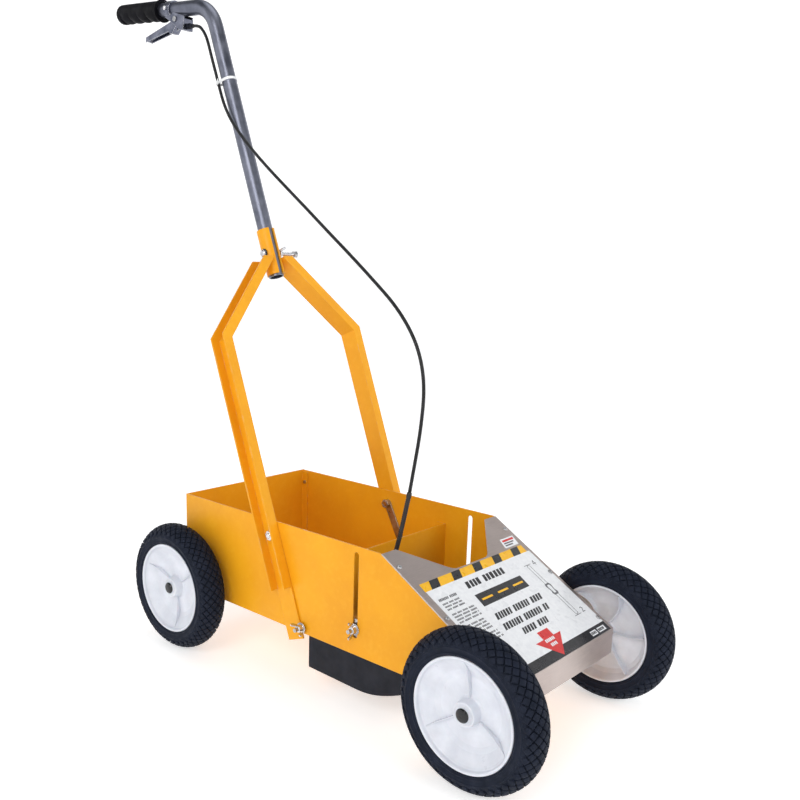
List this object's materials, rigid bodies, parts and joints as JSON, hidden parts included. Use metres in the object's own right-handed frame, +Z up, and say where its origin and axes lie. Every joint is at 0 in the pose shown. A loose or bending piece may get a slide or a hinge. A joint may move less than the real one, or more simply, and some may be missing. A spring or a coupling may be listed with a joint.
{
  "type": "line striping machine",
  "caption": "Four-wheeled sheet-steel paint striping cart with a fold-forward push handle, brake-type trigger, control cable and sliding inverted-can holder.",
  "frame": {"origin": "on the ground under the middle of the machine's outline, cable left out", "axes": "+Z up, the sloped front plate faces -Y, the grip points to +Y, +X is across, towards the operator's left"},
  "size_m": [0.382, 1.0542, 1.0686],
  "materials": {
    "yellow_paint": "powder coat, satin",
    "aluminium": "brushed",
    "zinc": "bright zinc",
    "tube_steel": "nickel plated, worn",
    "black_plastic": "satin",
    "white_plastic": "moulded",
    "tyre_rubber": "matt",
    "grip_rubber": "matt",
    "cable_black": "satin",
    "nylon": "natural"
  },
  "bodies": {
    "chassis": {"right_side_panel": "yellow_paint", "left_side_panel": "yellow_paint", "rear_panel": "yellow_paint", "floor_panel": "yellow_paint", "divider": "yellow_paint", "front_pan": "yellow_paint", "label_plate": "aluminium", "plate_screws": "zinc", "panel_rivets": "zinc", "right_shroud_side": "black_plastic", "left_shroud_side": "black_plastic", "shroud_back": "black_plastic", "front_axle": "zinc", "rear_axle": "zinc", "axle_spacers": "zinc", "axle_caps": "black_plastic", "backing_straps": "zinc", "pivot_bolts": "zinc", "pivot_nuts": "zinc", "lock_bolts": "zinc", "lock_wing_nuts": "zinc"},
    "handle": {"right_leg": "yellow_paint", "left_leg": "yellow_paint", "clamp_bolt": "zinc", "clamp_wing_nut": "zinc", "clamp_end_nut": "zinc", "handle_tube": "tube_steel", "grip": "grip_rubber", "lever_bracket": "zinc", "lever_pin": "zinc", "band_screw": "zinc", "barrel_adjuster": "black_plastic", "zip_tie": "nylon", "control_cable": "cable_black"},
    "trigger": {"trigger_lever": "zinc"},
    "carriage": {"can_carriage": "zinc", "slide_bolts": "zinc", "slide_wing_nuts": "zinc", "rocker_lugs": "zinc", "rocker_pin": "zinc", "cable_stop": "zinc", "cable_sleeve": "black_plastic"},
    "rocker": {"valve_rocker": "zinc"},
    "front_left_wheel": {"front_left_hub": "white_plastic", "front_left_tyre": "tyre_rubber"},
    "front_right_wheel": {"front_right_hub": "white_plastic", "front_right_tyre": "tyre_rubber"},
    "rear_left_wheel": {"rear_left_hub": "white_plastic", "rear_left_tyre": "tyre_rubber"},
    "rear_right_wheel": {"rear_right_hub": "white_plastic", "rear_right_tyre": "tyre_rubber"}
  },
  "joints": [
    {"name": "front_left_wheel_spin", "type": "hinge", "parent": "chassis", "child": "front_left_wheel", "pos_m": [0.165, -0.42551, 0.1016], "axis": [1, 0, 0], "continuous": true},
    {"name": "front_right_wheel_spin", "type": "hinge", "parent": "chassis", "child": "front_right_wheel", "pos_m": [-0.165, -0.42551, 0.1016], "axis": [1, 0, 0], "continuous": true},
    {"name": "rear_left_wheel_spin", "type": "hinge", "parent": "chassis", "child": "rear_left_wheel", "pos_m": [0.165, 0.15149, 0.1016], "axis": [1, 0, 0], "continuous": true},
    {"name": "rear_right_wheel_spin", "type": "hinge", "parent": "chassis", "child": "rear_right_wheel", "pos_m": [-0.165, 0.15149, 0.1016], "axis": [1, 0, 0], "continuous": true},
    {"name": "handle_fold", "type": "hinge", "parent": "chassis", "child": "handle", "pos_m": [0, -0.03431, 0.221], "axis": [1, 0, 0], "range_deg": [0, 86], "deforming": ["control_cable"]},
    {"name": "trigger_pull", "type": "hinge", "parent": "handle", "child": "trigger", "pos_m": [0, 0.35341, 1.01742], "axis": [1, 0, 0], "range_deg": [0, 11.5], "stiffness_Nm_per_rad": 1.5, "springref_deg": -5.73},
    {"name": "carriage_slide", "type": "slide", "parent": "chassis", "child": "carriage", "axis": [0, 0, 1], "range_m": [-0.009, 0.105], "deforming": ["cable_sleeve"]},
    {"name": "rocker_lift", "type": "hinge", "parent": "carriage", "child": "rocker", "pos_m": [0.05, -0.20311, 0.098], "axis": [0, 1, 0], "range_deg": [0, 1.4]}
  ],
  "couplings": [
    {"joint": "rocker_lift", "follows": "trigger_pull", "ratio": 0.1113}
  ]
}
